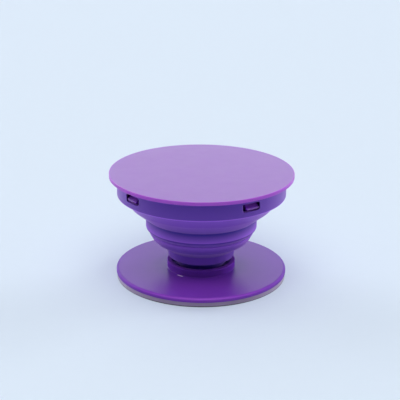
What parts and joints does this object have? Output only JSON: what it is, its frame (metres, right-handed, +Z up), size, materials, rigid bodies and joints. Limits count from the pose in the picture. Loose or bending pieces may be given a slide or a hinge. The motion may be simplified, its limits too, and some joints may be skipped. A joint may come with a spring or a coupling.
{
  "type": "collapsible phone grip",
  "caption": "Collapsible phone grip and stand: a flat round thumb disc snapped onto a stepped accordion that swivels in the collar of a thin base disc with an adhesive foot.",
  "frame": {"origin": "centre of the foot's underside, on the surface that the grip stands on", "axes": "+Z up along the grip's axis towards the thumb disc; -Y is the side that faces the picture's camera"},
  "size_m": [0.04, 0.04, 0.0236],
  "materials": {
    "disc_plastic": "fine satin moulded purple plastic",
    "accordion_elastomer": "satin moulded violet elastomer",
    "base_plastic": "glossy moulded purple plastic",
    "adhesive_foam": "matte mauve-grey adhesive foam",
    "liner_film": "translucent pale release film"
  },
  "bodies": {
    "base": {"base_disc": "base_plastic", "adhesive_pad": "adhesive_foam", "release_liner": "liner_film"},
    "bellows": {"accordion": "accordion_elastomer"},
    "top": {"top_disc": "disc_plastic"}
  },
  "joints": [
    {"name": "swivel", "type": "hinge", "parent": "base", "child": "bellows", "pos_m": [0, 0, 0.00212], "axis": [0, 0, 1], "continuous": true},
    {"name": "collapse", "type": "slide", "parent": "bellows", "child": "top", "axis": [0, 0, -1], "range_m": [0, 0.016], "deforming": ["accordion"]}
  ]
}
